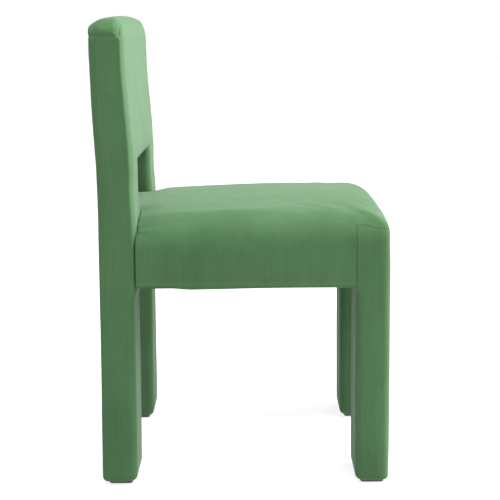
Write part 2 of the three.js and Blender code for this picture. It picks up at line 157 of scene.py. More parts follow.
def back_profile(x, y, z):
    """Side profile of the back and rear legs, how far it faces upward, and which side is the front.

    The facing runs from 0 to 1. The front is everything ahead of the back's highest line.
    """
    foot = np.clip(1 - z / 0.30, 0, 1)
    y = y - lean(z)
    ahead = POST_FRONT - plumpness(z) - y
    behind = y - POST_REAR - 2.0 * MM * foot * foot
    crown = 2.5 * MM - 5.5 * MM * (x / SIDE) ** 2
    over, under = z - TOP - crown, FOOT - z
    apex = POST_REAR - REAR_ROUND
    forward = y < apex
    face = np.where(forward, ahead, behind)
    deep = np.where(forward, apex - POST_FRONT, REAR_ROUND)
    high = np.where(forward, FRONT_DROP, REAR_DROP)
    near_face = smooth(-9 * MM, -1 * MM, face)
    upward = smooth(-40 * MM, -14 * MM, over) * (1 - near_face)
    head = rounded(face, over, deep, high)
    feet = rounded(np.maximum(ahead, behind), under, *FOOT_EDGE)
    return np.maximum(head, feet), upward, forward


OPENING_CORNER = 16 * MM  # radius of the opening's upper corners


def rear_field(x, y, z):
    """Rear legs, stiles and back panel: a soft slab with the opening cut out of it.

    Its upright edges are rounded more across the face than inward, and more at the back than at
    the legs. The top is rounded more than either.
    """
    profile, upward, forward = back_profile(x, y, z)
    grown = smooth(0.36, 0.60, z)  # from leg to back
    by_seat = smooth(0.31, 0.345, z)
    across = np.where(forward, mix(14, 38, grown), mix(9, 16, grown))
    inward = np.where(forward, mix(mix(12, 6, grown), 6, by_seat), mix(9, 12, grown))
    across, inward = mix(across, 34, upward) * MM, mix(inward, 30, upward) * MM
    slab = rounded(np.abs(x) - SIDE, profile, across, inward)
    opening = joined(INNER - np.abs(x), PANEL_BOTTOM - z, OPENING_CORNER)
    edge = mix(13, 11, grown) * MM
    return rounded(slab, opening, edge, edge)


CUSHION_HEIGHT = 0.4692  # the cushion's upper surface at its edges, before they roll over


def seat_top(x, y):
    """Height of the cushion's upper surface: crowned, lower at the rear and beside the posts."""
    ahead = smooth(0.15, 0.23, -y)
    crown = 11 * MM * (1 - (x / SIDE) ** 2)
    back = np.maximum(0, (y + 0.15) / 0.30)
    beside_post = smooth(0.140, 0.185, y) * smooth(0.09, 0.14, np.abs(x))
    return CUSHION_HEIGHT + crown - 9 * MM * back**1.6 - 1.8 * MM * ahead - 5 * MM * beside_post


ROLL_X, ROLL_Y, ROLL_Z = 75 * MM, 75 * MM, 46 * MM  # how far in and down the edges roll over
SEAT_CORNER = 14 * MM, 12 * MM  # half axes of the seat's upright corners
CORNER_POWER = 9  # the higher, the squarer the cushion's corners seen from above


def cushion_field(x, y, z):
    """The whole seat with its leg corners, as far back as the rear apron."""
    aside, ahead, behind = np.abs(x) - SIDE, FRONT - y, y - APRON_REAR
    over = z - seat_top(x, y)
    across, along = np.maximum(aside + ROLL_X, 0) / ROLL_X, np.maximum(ahead + ROLL_Y, 0) / ROLL_Y
    up = np.maximum(over + ROLL_Z, 0) / ROLL_Z
    both = across**CORNER_POWER + along**CORNER_POWER + 1e-9
    power = mix(2.2, 3.4, along**CORNER_POWER / both)
    pillow = ((both ** (power / CORNER_POWER) + up**power) ** (1 / power) - 1) * ROLL_Z
    body = np.maximum(pillow, rounded(aside, ahead, *SEAT_CORNER))
    return rounded(body, behind, *SEAT_CORNER)


SEAM_EDGE = 0.6 * MM  # how far a sewn edge turns in
CLEAR = 0.06 * MM  # gap between neighbouring covers
LEG_SEAM = 0.4516  # height of a front leg's seam at its rear end
LEG_SEAM_DROP = 7.5 * MM  # how much lower it is at the front


def seam_height(y):
    """Height of the curved seam where a front leg's cover meets the seat's."""
    return LEG_SEAM - LEG_SEAM_DROP * smooth(0.0, 0.055, LEG_REAR - y)


def leg_field(x, y, z):
    """Both front legs' covers, from the foot to the seam on the seat's front corner.

    The three corners that don't face outward turn sharp where the seat's cover meets them.
    """
    x = np.abs(x)
    joint = smooth(SEAT_BOTTOM - 14 * MM, SEAT_BOTTOM + 2 * MM, z)
    outer_front = (x > (INNER + SIDE) / 2) & (y < (FRONT + LEG_REAR) / 2)
    across = np.where(outer_front, 14, mix(14, 2, joint)) * MM
    inward = np.where(outer_front, 12, mix(12, 2, joint)) * MM
    aside = np.maximum(x - SIDE, INNER - x)
    face = np.maximum(FRONT - y, y - LEG_REAR)
    body = rounded(rounded(aside, face, across, inward), FOOT - z, *FOOT_EDGE)
    body = np.maximum(body, cushion_field(x, y, z))
    return rounded(body, z - seam_height(y), SEAM_EDGE, SEAM_EDGE)


def leg_corner(x, y, z):
    """Distance outside the block of a front corner that the leg's own cover fills."""
    return np.maximum(np.maximum(INNER - np.abs(x), y - LEG_REAR), z - seam_height(y))


HEM_DROP = 3.5 * MM  # how much lower the seat's hem hangs at the rear
HEM_EDGE = 3 * MM
UNDERSIDE_RISE = 5 * MM  # how far the underside lies above the hem, clear of the lining
POST_EDGE = 2.5 * MM  # rounding of the seat's cover where it meets a rear post


def seat_field(x, y, z):
    """The seat's cover: the cushion without the leg corners, tucked in round the posts."""
    body = cushion_field(x, y, z)
    inset = np.minimum(np.minimum(SIDE - np.abs(x), y - FRONT), APRON_REAR - y)
    low = SEAT_BOTTOM - HEM_DROP * smooth(-0.10, 0.20, y)
    low = mix(low, SEAT_BOTTOM + UNDERSIDE_RISE, smooth(4 * MM, 9 * MM, inset))
    body = rounded(body, low - z, HEM_EDGE, HEM_EDGE)
    ends = y - POST_FRONT + 3.0 * MM
    tucked = smooth(0.428, 0.450, z) * smooth(INNER, INNER + 40 * MM, np.abs(x))
    turned = rounded(body, ends, mix(2, 10, tucked) * MM, mix(2, 6, tucked) * MM)
    beside_rail = 14 * MM * smooth(POST_FRONT + 10 * MM, POST_FRONT + 20 * MM, y)
    body = np.where(np.abs(x) > INNER + beside_rail, turned, body)
    body = rounded(body, CLEAR - rear_field(x, y, np.minimum(z, 0.50)), POST_EDGE, POST_EDGE)
    return rounded(body, CLEAR - leg_corner(x, y, z), SEAM_EDGE, SEAM_EDGE)


GRADIENT_STEP = 0.4 * MM
LONGEST_MOVE = 6 * MM
LEAST_SLOPE = 0.2  # squared; keeps points from leaping where the field is nearly level


def gradient(field, p):
    """The field's slope along x, y and z at each point."""
    slopes = []
    for axis in range(3):
        shift = np.zeros(3)
        shift[axis] = GRADIENT_STEP
        ahead, behind = p + shift, p - shift
        slopes.append((field(*ahead.T) - field(*behind.T)) / (2 * GRADIENT_STEP))
    return np.stack(slopes, axis=1)


def settle(p, field, rounds=3):
    """Moves points onto the field's surface, along its slope."""
    for _ in range(rounds):
        slope = gradient(field, p)
        size = np.maximum((slope * slope).sum(axis=1), LEAST_SLOPE)
        move = -(field(*p.T) / size)[:, None] * slope
        length = np.maximum(np.linalg.norm(move, axis=1), 1e-12)
        p = p + move * np.minimum(1, LONGEST_MOVE / length)[:, None]
    return p


# ---- Meshes ---------------------------------------------------------------------------------


def points_of(mesh):
    p = np.empty(len(mesh.vertices) * 3)
    mesh.vertices.foreach_get("co", p)
    return p.reshape(-1, 3)


def set_points(mesh, p):
    mesh.vertices.foreach_set("co", p.ravel())
    mesh.update()


def neighbours(mesh):
    """The two point numbers of every edge."""
    pairs = np.empty(len(mesh.edges) * 2, int)
    mesh.edges.foreach_get("vertices", pairs)
    return pairs.reshape(-1, 2)


def relax(values, pairs, rounds=1):
    """Smooths values kept on the points: each moves halfway to the mean of its neighbours."""
    here, there = np.concatenate([pairs, pairs[:, ::-1]]).T
    count = np.maximum(np.bincount(here, minlength=len(values)), 1)
    columns = np.atleast_2d(values.T)
    for _ in range(rounds):
        sums = [np.bincount(here, weights=column[there], minlength=len(values)) for column in columns]
        columns = mix(columns, np.array(sums) / count, 0.5)
    return columns[0] if values.ndim == 1 else columns.T


def boxes_object(name, boxes):
    """A mesh object made of closed boxes, each given by its lowest and highest corner."""
    build = bmesh.new()
    for low, high in boxes:
        middle, size = (np.array(low) + high) / 2, np.array(high) - low
        made = bmesh.ops.create_cube(build, size=1)["verts"]
        bmesh.ops.scale(build, vec=size, verts=made)
        bmesh.ops.translate(build, vec=middle, verts=made)
    mesh = bpy.data.meshes.new(name)
    build.to_mesh(mesh)
    build.free()
    piece = bpy.data.objects.new(name, mesh)
    scene.collection.objects.link(piece)
    return piece


def apply_modifiers(piece):
    """Replaces the piece's mesh by the one that its modifiers make."""
    graph = bpy.context.evaluated_depsgraph_get()
    mesh = bpy.data.meshes.new_from_object(piece.evaluated_get(graph))
    piece.modifiers.clear()
    old = piece.data
    piece.data = mesh
    mesh.name = piece.name
    bpy.data.meshes.remove(old)


VOXEL = 5.0 * MM


def remesh(piece):
    step = piece.modifiers.new("remesh", "REMESH")
    step.mode = "VOXEL"
    step.voxel_size = VOXEL
    apply_modifiers(piece)


def subdivide(piece):
    step = piece.modifiers.new("subdivide", "SUBSURF")
    step.levels = step.render_levels = 1
    apply_modifiers(piece)


SHELL_ROUNDS = 6


def fabric_shell(name, boxes, field):
    """A closed even mesh on the surface of a field, started from boxes that hold its shape."""
    piece = boxes_object(name, boxes)
    remesh(piece)
    pairs = neighbours(piece.data)
    p = points_of(piece.data)
    for _ in range(SHELL_ROUNDS):
        p = relax(settle(p, field), pairs)
    set_points(piece.data, settle(p, field))
    return piece


def shade_smooth(piece):
    piece.data.polygons.foreach_set("use_smooth", [True] * len(piece.data.polygons))


def refine(piece, zone):
    """Splits the edges whose ends both lie in the zone, for crisp seams and folds."""
    build = bmesh.new()
    build.from_mesh(piece.data)
    p = points_of(piece.data)
    inside = zone(*p.T)
    edges = [e for e in build.edges if inside[e.verts[0].index] and inside[e.verts[1].index]]
    bmesh.ops.subdivide_edges(build, edges=edges, cuts=1, use_grid_fill=True)
    build.to_mesh(piece.data)
    build.free()


CLOTH_FRAMES = 20
PRESSURE = 4.0
SWELL_LIMIT = 5.0 * MM


def swell(piece, held):
    """Blows the cover up with Blender's cloth and returns how far each point moves."""
    rest = points_of(piece.data)
    weights = np.round(held(*rest.T), 1)
    group = piece.vertex_groups.new(name="held")
    for level in np.unique(weights):
        chosen = np.nonzero(weights == level)[0]
        group.add(chosen.tolist(), float(level), "REPLACE")
    cloth = piece.modifiers.new("cloth", "CLOTH")
    settings = cloth.settings
    settings.quality = 6
    settings.mass = 0.25
    settings.tension_stiffness = settings.compression_stiffness = 12
    settings.shear_stiffness = 4
    settings.bending_stiffness = 0.4
    settings.use_pressure = True
    settings.uniform_pressure_force = PRESSURE
    settings.effector_weights.gravity = 0
    settings.vertex_group_mass = "held"
    settings.pin_stiffness = 1
    settings.shrink_min = -0.006
    cloth.collision_settings.use_collision = False
    cloth.point_cache.frame_start, cloth.point_cache.frame_end = 1, CLOTH_FRAMES
    for frame_number in range(1, CLOTH_FRAMES + 1):
        scene.frame_set(frame_number)
    blown = piece.evaluated_get(bpy.context.evaluated_depsgraph_get())
    move = points_of(blown.data) - rest
    piece.modifiers.clear()
    piece.vertex_groups.clear()
    scene.frame_set(1)
    length = np.maximum(np.linalg.norm(move, axis=1), 1e-9)
    return move * np.minimum(1, SWELL_LIMIT / length)[:, None]


def carry(piece, move):
    """Stores a movement on the points, so that it survives splitting the mesh."""
    layer = piece.data.attributes.new("move", "FLOAT_VECTOR", "POINT")
    layer.data.foreach_set("vector", move.ravel())


def carried(piece):
    """Takes the stored movement back off the points."""
    layer = piece.data.attributes["move"]
    move = np.empty(len(piece.data.vertices) * 3)
    layer.data.foreach_get("vector", move)
    piece.data.attributes.remove(layer)
    return move.reshape(-1, 3)


def normals_of(mesh):
    n = np.empty(len(mesh.vertices) * 3)
    mesh.vertex_normals.foreach_get("vector", n)
    return n.reshape(-1, 3)


# The fields already hold the padded shape, so the cloth's swelling is kept only as fine relief.
RELIEF_SHARE = 0.6
BROAD_SHARE = 0.2  # how much of the swelling's broad part is kept
RELIEF_LIMIT = 1.0 * MM
CALM_ROUNDS, BROAD_ROUNDS = 40, 120  # smoothing of the swelling, and of its broad part


def upholster(piece, field, held, zone, stitch):
    """Pads a cover by cloth simulation, then adds its seams, folds and hems as real relief.

    stitch gives the height of the seams and folds at each point.
    """
    carry(piece, swell(piece, held))
    subdivide(piece)
    refine(piece, zone)
    pairs = neighbours(piece.data)
    p = settle(points_of(piece.data), field, 4)
    set_points(piece.data, p)
    out = normals_of(piece.data)
    swollen = relax((carried(piece) * out).sum(axis=1), pairs, CALM_ROUNDS)
    broad = relax(swollen, pairs, BROAD_ROUNDS)
    free = 1 - held(*p.T)
    level = np.average(broad, weights=free + 1e-6)
    height = free * (swollen - broad + BROAD_SHARE * (broad - level))
    height = np.clip(RELIEF_SHARE * height, -RELIEF_LIMIT, RELIEF_LIMIT) + stitch(*p.T)
    set_points(piece.data, p + height[:, None] * out)
    shade_smooth(piece)


# ---- Where the covers are held, and the relief of their seams and folds ----------------------
# held runs from 0, free, to 1, fixed. zone marks where the mesh is split finer. relief is the
# height that seams and folds stand above the field's surface.


def seat_held(x, y, z):
    low = 1 - smooth(0.0, 20 * MM, z - SEAT_BOTTOM)
    behind = smooth(POST_FRONT - 14 * MM, POST_FRONT, y)
    corner = 1 - smooth(0.0, 16 * MM, leg_corner(x, y, z))
    return np.clip(np.maximum(np.maximum(low, behind), corner), 0, 1)


def seat_zone(x, y, z):
    corner = np.abs(leg_corner(x, y, z)) < 5 * MM
    post = (np.abs(y - POST_FRONT) < 7 * MM) & (np.abs(x) > INNER - 6 * MM)
    hem = (z < SEAT_BOTTOM + 9 * MM) & (z > SEAT_BOTTOM - 2 * MM) & (np.abs(x) > INNER)
    return corner | post | hem


TUCK_Y, TUCK_Z = POST_FRONT - 2 * MM, 0.440  # where the cover is pulled in round a rear post


def tuck_folds(x, y, z):
    """Soft folds that fan out from the tuck."""
    dy, dz = TUCK_Y - y, z - TUCK_Z
    reach = np.hypot(dy, dz)
    angle = np.degrees(np.arctan2(dz, dy))
    side = smooth(0.185, 0.225, np.abs(x))
    fade = smooth(0, 9 * MM, reach) * np.exp(-((reach / (38 * MM)) ** 1.5))
    # direction and spread of each fold in degrees, and its height in millimetres
    lobes = ((66, 16, 0.7), (38, 17, -1.7), (8, 12, 1.3), (-16, 12, -0.6))
    fan = sum(height * bump_at(angle - toward, spread) for toward, spread, height in lobes)
    pinch = -1.8 * bump_at(reach, 5 * MM)
    return side * (fan * fade + pinch) * MM


def seat_relief(x, y, z):
    """The folds beside the posts, and the turned hem along the seat's sides and front."""
    folds = tuck_folds(x, y, z)
    above = z - SEAT_BOTTOM
    hem = 0.7 * bump_at(above - 6 * MM, 2.2 * MM) - 0.5 * bump_at(above - 2.5 * MM, 1.5 * MM)
    aside = smooth(SIDE - 6 * MM, SIDE - 2 * MM, np.abs(x))
    ahead = smooth(-FRONT - 6 * MM, -FRONT - 2 * MM, -y)
    return folds + np.maximum(aside, ahead) * hem * MM


def leg_held(x, y, z):
    foot = 1 - smooth(0.0, 18 * MM, z - FOOT)
    top = 1 - smooth(2 * MM, 20 * MM, seam_height(y) - z)
    joined_in = smooth(SEAT_BOTTOM - 20 * MM, SEAT_BOTTOM, z)
    hidden = np.maximum(smooth(-6 * MM, 0, INNER - np.abs(x)), smooth(-6 * MM, 0, y - LEG_REAR))
    return np.clip(np.maximum(np.maximum(foot, top), joined_in * hidden), 0, 1)


def leg_zone(x, y, z):
    top = z > seam_height(y) - 6 * MM
    inside = np.maximum(INNER + 5 * MM - np.abs(x), y - LEG_REAR + 5 * MM) > 0
    return top | (inside & (z > SEAT_BOTTOM - 14 * MM))


def leg_relief(x, y, z):
    """None: a front leg's only seam is where its field meets the seat's."""
    return np.zeros_like(x)


CAP_SEAM = TOP - 34 * MM  # height of the seam under the back's rounded top


def side_seam(z):
    """How far back the seam runs on the stiles' outer faces, just in front of their rear edge."""
    return POST_REAR + lean(z) - 9 * MM


def rear_held(x, y, z):
    return 1 - smooth(0.0, 18 * MM, z - FOOT)


def rear_zone(x, y, z):
    front = POST_FRONT + lean(z)
    cap = (np.abs(z - CAP_SEAM) < 6 * MM) & (y > front + 6 * MM)
    pleat = (z > CAP_SEAM - 8 * MM) & (y < front + 12 * MM) & (np.abs(x) > 0.2)
    side = (np.abs(y - side_seam(z)) < 4 * MM) & (np.abs(x) > SIDE - 5 * MM) & (z < CAP_SEAM)
    return cap | pleat | side


def rear_relief(x, y, z):
    """The back's cap seam, the pleats at its front corners and the long seams down its sides."""
    front, back = POST_FRONT + lean(z), POST_REAR + lean(z)
    aside = smooth(SIDE - 12 * MM, SIDE - 4 * MM, np.abs(x))
    behind = smooth(back - 8 * MM, back - 3 * MM, y)
    below_cap = 1 - smooth(CAP_SEAM - 3 * MM, CAP_SEAM, z)
    cap = -1.0 * bump_at(z - CAP_SEAM, 2.4 * MM) * np.maximum(aside, behind)
    cap = cap * smooth(front + 6 * MM, front + 12 * MM, y)
    side = -0.8 * bump_at(y - side_seam(z), 1.3 * MM) * aside
    side = side * smooth(FOOT + 8 * MM, FOOT + 20 * MM, z) * below_cap
    pillow = 0.9 * bump_at(z - CAP_SEAM - 10 * MM, 8 * MM) * aside
    pleat = -3.6 * bump_at(y - front - 5 * MM, 1.6 * MM)
    pleat = pleat * smooth(CAP_SEAM - 4 * MM, CAP_SEAM + 4 * MM, z)
    pleat = pleat * (1 - smooth(TOP - 10 * MM, TOP - 4 * MM, z)) * smooth(0.205, 0.225, np.abs(x))
    return (cap + pillow + pleat + side) * MM


# ---- The four velvet covers -----------------------------------------------------------------

LEG_BOX_TOP = 0.452  # a little above the highest point of a front leg's seam


def cover(name, boxes, field, held, zone, relief):
    """One finished cover: a shell on its field, padded and sewn."""
    piece = fabric_shell(name, boxes, field)
    upholster(piece, field, held, zone, relief)
    return piece


def upright_box(side, front, rear, high):
    """The box of a leg on one side of the chair: 1 is the sitter's left, -1 the right."""
    x_low, x_high = sorted((side * INNER, side * SIDE))
    return (x_low, front, FOOT), (x_high, rear, high)


post_boxes = [upright_box(side, POST_FRONT, POST_REAR, PANEL_BOTTOM + 0.02) for side in (-1, 1)]
panel_box = ((-SIDE, POST_FRONT + 4 * MM, PANEL_BOTTOM), (SIDE, cad_high.y, TOP))
rear = cover("rear_velvet", [*post_boxes, panel_box], rear_field, rear_held, rear_zone, rear_relief)

seat_box = ((-SIDE, FRONT, SEAT_BOTTOM), (SIDE, APRON_REAR, SEAT_HIGH.z))
seat = cover("seat_velvet", [seat_box], seat_field, seat_held, seat_zone, seat_relief)

legs = []
for word, side in (("left", 1), ("right", -1)):
    leg_box = upright_box(side, FRONT, LEG_REAR, LEG_BOX_TOP)
    name = f"{word}_front_leg_velvet"
    legs.append(cover(name, [leg_box], leg_field, leg_held, leg_zone, leg_relief))


# ---- The lining under the seat --------------------------------------------------------------

LINING_THICK = 0.6 * MM
LINING_GRID = 3.5 * MM  # spacing of the lining's mesh lines
GRID_REACH = 0.245  # a little beyond the lining's edges
STAPLE_PITCH = 38 * MM
STAPLE = 10 * MM, 1.1 * MM, 0.8 * MM  # length, width and height of a staple's crown
REAR_CUT = POST_FRONT - 4 * MM  # the lining's edge in front of the rear posts


def lining_outline():
    """Corners of the lining seen from above, cut in round the four legs, going round once."""
    wide, near, far = LINING_HIGH.x, LINING_LOW.y, LINING_HIGH.y
    inside, front_cut = INNER - 1 * MM, LEG_REAR + 1 * MM
    at_front = [(inside, near), (inside, front_cut), (wide, front_cut)]
    at_rear = [(wide, REAR_CUT), (inside, REAR_CUT), (inside, far)]
    half = at_front + at_rear
    return half + [(-x, y) for x, y in reversed(half)]


def outline_points(spacing, shrink=0.0):
    """Points along the outline at an even spacing, and the inward direction at each."""
    corners = np.array(lining_outline())
    points = []
    for a, b in zip(corners, np.roll(corners, -1, axis=0)):
        run = np.linalg.norm(b - a)
        steps = max(2, round(run / spacing))
        inward = np.array([-(b - a)[1], (b - a)[0]]) / run
        for i in range(steps):
            points.append((*(mix(a, b, (i + 0.5) / steps) + inward * shrink), inward))
    return points


def edge_distance(x, y):
    """Distance in from the lining's outline."""
    wide = np.minimum(LINING_HIGH.x - np.abs(x), np.minimum(y - LEG_REAR, REAR_CUT - y))
    long = np.minimum(INNER - np.abs(x), np.minimum(y - LINING_LOW.y, LINING_HIGH.y - y))
    return np.maximum(np.maximum(wide, long), 0)


def lining_sag(x, y):
    """How far the stretched lining hangs below its stapled edge."""
    into = edge_distance(x, y)
    belly = 2.2 * MM * smooth(0, 0.16, into)
    pulls = 0.5 * MM * np.cos(2 * math.pi * x / STAPLE_PITCH) * np.cos(2 * math.pi * y / STAPLE_PITCH)
    fold = 0.5 * MM * bump_at(into - 9 * MM, 1.6 * MM)
    return belly + pulls * smooth(0, 8 * MM, into) * np.exp(-into / (16 * MM)) + fold


def lining_sheet():
    """The thin lining as one closed sheet with its hem's fold as relief."""
    build = bmesh.new()
    build.faces.new([build.verts.new((x, y, LINING_HIGH.z)) for x, y in lining_outline()])
    for direction in (Vector((1, 0, 0)), Vector((0, 1, 0))):
        for at in np.arange(-GRID_REACH, GRID_REACH + MM, LINING_GRID):
            everything = [*build.verts, *build.edges, *build.faces]
            place = direction * float(at)
            bmesh.ops.bisect_plane(build, geom=everything, plane_co=place, plane_no=direction)
    mesh = bpy.data.meshes.new("seat_lining")
    build.to_mesh(mesh)
    build.free()
    piece = bpy.data.objects.new("seat_lining", mesh)
    scene.collection.objects.link(piece)
    p = points_of(mesh)
    p[:, 2] = LINING_HIGH.z - lining_sag(p[:, 0], p[:, 1])
    set_points(mesh, p)
    step = piece.modifiers.new("thickness", "SOLIDIFY")
    step.thickness = LINING_THICK
    step.offset = 0
    apply_modifiers(piece)
    shade_smooth(piece)
    return piece


def staples():
    """Flat wire staples round the lining's hem, their crowns pressed into the cloth."""
    build = bmesh.new()
    for x, y, inward in outline_points(STAPLE_PITCH, 5 * MM):
        turn = math.atan2(inward[1], inward[0]) + math.radians(90)
        made = bmesh.ops.create_cube(build, size=1)["verts"]
        bmesh.ops.scale(build, vec=STAPLE, verts=made)
        bmesh.ops.rotate(build, verts=made, matrix=Matrix.Rotation(turn, 3, "Z"))
        z = LINING_HIGH.z - float(lining_sag(x, y)) - LINING_THICK / 2
        bmesh.ops.translate(build, vec=(x, y, z), verts=made)
    bmesh.ops.bevel(build, geom=build.edges[:], offset=0.25 * MM, segments=2, affect="EDGES")
    mesh = bpy.data.meshes.new("lining_staples")
    build.to_mesh(mesh)
    build.free()
    piece = bpy.data.objects.new("lining_staples", mesh)
    scene.collection.objects.link(piece)
    shade_smooth(piece)
    return piece


lining = lining_sheet()
staple_row = staples()


# ---- Materials ------------------------------------------------------------------------------


class Nodes:
    """Short calls for building one material's node tree.

    Noise scales are per metre, and bump distances in metres.
    """

    def __init__(self, name):
        self.material = bpy.data.materials.new(name)
        self.material.use_nodes = True
        self.tree = self.material.node_tree
        self.shader = self.tree.nodes["Principled BSDF"]
        self.coords = self.tree.nodes.new("ShaderNodeTexCoord").outputs["Object"]

    def node(self, kind, inputs=None, **settings):
        made = self.tree.nodes.new(kind)
        for key, value in settings.items():
            setattr(made, key, value)
        for key, value in (inputs or {}).items():
            if isinstance(value, bpy.types.NodeSocket):
                self.tree.links.new(value, made.inputs[key])
            else:
                made.inputs[key].default_value = value
        return made

    def link(self, source, name):
        self.tree.links.new(source, self.shader.inputs[name])

    def set(self, **values):
        for key, value in values.items():
            self.shader.inputs[key.replace("_", " ")].default_value = value

    def noise(self, scale, detail=3.0, rough=0.5, stretch=(1, 1, 1)):
        place = self.node("ShaderNodeMapping", {"Vector": self.coords, "Scale": stretch})
        values = {"Vector": place.outputs[0], "Scale": scale, "Detail": detail, "Roughness": rough}
        return self.node("ShaderNodeTexNoise", values).outputs["Fac"]

    def ramp(self, value, low, high, new_low=0.0, new_high=1.0):
        values = {"Value": value, 1: low, 2: high, 3: new_low, 4: new_high}
        return self.node("ShaderNodeMapRange", values).outputs["Result"]

    def blend(self, share, a, b):
        made = self.node("ShaderNodeMix", data_type="RGBA")
        for key, value in (("Factor", share), ("A", a), ("B", b)):
            socket = next(s for s in made.inputs if s.name == key and s.enabled)
            if isinstance(value, bpy.types.NodeSocket):
                self.tree.links.new(value, socket)
            else:
                socket.default_value = value
        return next(s for s in made.outputs if s.enabled)

    def bump(self, height, strength, distance, under=None):
        values = {"Height": height, "Strength": strength, "Distance": distance}
        if under is not None:
            values["Normal"] = under
        return self.node("ShaderNodeBump", values).outputs["Normal"]


def velvet():
    """Short-pile velvet: brushed patches, faint upright ribs, fine pile and a pale sheen."""
    n = Nodes("velvet")
    patches = n.ramp(n.noise(7.0, 3.0, 0.55), 0.35, 0.65)
    brushed = n.ramp(n.noise(26.0, 4.0, 0.6, (1, 1, 0.35)), 0.3, 0.7)
    ribs = n.ramp(n.noise(230.0, 2.0, 0.5, (1, 1, 0.06)), 0.35, 0.65)
    pile = n.noise(1900.0, 2.0, 0.6)
    mottle = n.noise(160.0, 3.0, 0.6)
    nap = n.blend(0.4, patches, brushed)
    nap = n.blend(0.25, nap, ribs)
    nap = n.blend(0.20, nap, n.ramp(pile, 0.3, 0.7))
    n.link(n.blend(nap, (0.031, 0.078, 0.030, 1), (0.050, 0.111, 0.048, 1)), "Base Color")
    n.link(n.ramp(brushed, 0.0, 1.0, 0.90, 0.80), "Roughness")
    n.link(n.bump(pile, 0.3, 0.0004, n.bump(mottle, 0.2, 0.0013)), "Normal")
    n.set(Sheen_Weight=0.12, Sheen_Roughness=0.40, Sheen_Tint=(0.85, 1.0, 0.85, 1))
    n.set(Specular_IOR_Level=0.13)
    return n.material


def timber():
    """Planed beech: long grain with darker pores and a dry, unfinished surface."""
    n = Nodes("timber")
    grain = n.noise(60.0, 6.0, 0.6, (1, 1, 0.06))
    pores = n.ramp(n.noise(420.0, 2.0, 0.5, (1, 1, 0.05)), 0.55, 0.75)
    wood = n.blend(n.ramp(grain, 0.3, 0.7), (0.52, 0.33, 0.17, 1), (0.66, 0.46, 0.27, 1))
    n.link(n.blend(pores, wood, (0.36, 0.21, 0.10, 1)), "Base Color")
    n.link(n.ramp(grain, 0.2, 0.8, 0.55, 0.75), "Roughness")
    n.link(n.bump(grain, 0.3, 0.0006), "Normal")
    return n.material


def plywood():
    """Thin board: broad face grain with stripes of alternate plies."""
    n = Nodes("plywood")
    grain = n.noise(34.0, 5.0, 0.6, (1, 0.1, 0.12))
    plies = n.noise(700.0, 1.0, 0.4, (0.02, 1, 0.02))
    face = n.blend(n.ramp(grain, 0.3, 0.7), (0.58, 0.42, 0.24, 1), (0.70, 0.54, 0.34, 1))
    n.link(n.blend(n.ramp(plies, 0.5, 0.7, 0.0, 0.5), face, (0.42, 0.28, 0.15, 1)), "Base Color")
    n.link(n.ramp(grain, 0.2, 0.8, 0.6, 0.8), "Roughness")
    n.link(n.bump(grain, 0.25, 0.0005), "Normal")
    return n.material


def foam():
    """Open-celled cut foam, slightly yellowed in patches."""
    n = Nodes("foam")
    cells = n.noise(900.0, 2.0, 0.7)
    patches = n.ramp(n.noise(12.0, 3.0), 0.35, 0.65)
    n.link(n.blend(patches, (0.80, 0.76, 0.62, 1), (0.86, 0.83, 0.74, 1)), "Base Color")
    n.link(n.ramp(cells, 0.2, 0.8, 0.85, 1.0), "Roughness")
    n.link(n.bump(cells, 0.6, 0.0008), "Normal")
    return n.material


def woven(name, dark, pale, thread, depth):
    """A plain weave: two sets of ribs, with uneven thread colour."""
    n = Nodes(name)
    bands = []
    for direction in ("X", "Y"):
        values = {"Vector": n.coords, "Scale": thread, "Distortion": 0.6, "Detail": 1.0}
        wave = n.node("ShaderNodeTexWave", values, wave_type="BANDS", bands_direction=direction)
        bands.append(wave.outputs["Fac"])
    weave = n.node("ShaderNodeMath", {0: bands[0], 1: bands[1]}, operation="MULTIPLY").outputs[0]
    uneven = n.ramp(n.noise(90.0, 3.0), 0.3, 0.7)
    tone = n.node("ShaderNodeMath", {0: weave, 1: uneven}, operation="MULTIPLY").outputs[0]
    n.link(n.blend(tone, dark, pale), "Base Color")
    n.link(n.ramp(weave, 0.0, 1.0, 0.95, 0.75), "Roughness")
    n.link(n.bump(weave, 0.5, depth), "Normal")
    n.set(Specular_IOR_Level=0.2)
    return n.material


def moulded_plastic():
    """Hard nylon glide: fine mould texture, scuffed where it slides."""
    n = Nodes("glide")
    scuffs = n.ramp(n.noise(160.0, 5.0, 0.7, (1, 0.2, 1)), 0.55, 0.75)
    n.link(n.blend(scuffs, (0.035, 0.034, 0.033, 1), (0.10, 0.098, 0.094, 1)), "Base Color")
    n.link(n.ramp(scuffs, 0.0, 1.0, 0.38, 0.65), "Roughness")
    n.link(n.bump(n.noise(1400.0, 2.0), 0.15, 0.0002), "Normal")
    return n.material


def zinc_steel():
    """Bright zinc-plated steel with fine drawing marks."""
    n = Nodes("steel")
    marks = n.noise(500.0, 3.0, 0.6, (1, 1, 0.08))
    n.link(n.blend(marks, (0.52, 0.53, 0.54, 1), (0.70, 0.71, 0.72, 1)), "Base Color")
    n.link(n.ramp(marks, 0.2, 0.8, 0.28, 0.45), "Roughness")
    n.link(n.bump(marks, 0.15, 0.0002), "Normal")
    n.set(Metallic=1.0)
    return n.material


finishes = {
    "velvet": velvet(),
    "timber": timber(),
    "plywood": plywood(),
    "foam": foam(),
    "webbing": woven("webbing", (0.28, 0.22, 0.15, 1), (0.56, 0.47, 0.34, 1), 260.0, 0.0006),
    "lining": woven("lining", (0.010, 0.010, 0.011, 1), (0.030, 0.030, 0.032, 1), 420.0, 0.0003),
    "glide": moulded_plastic(),
    "steel": zinc_steel(),
}
WORDS = {
    "webbing": "webbing", "screw": "steel", "nail": "steel", "glide": "glide", "board": "plywood",
    "foam": "foam", "padding": "foam", "dust": "lining", "cover": "velvet",
}


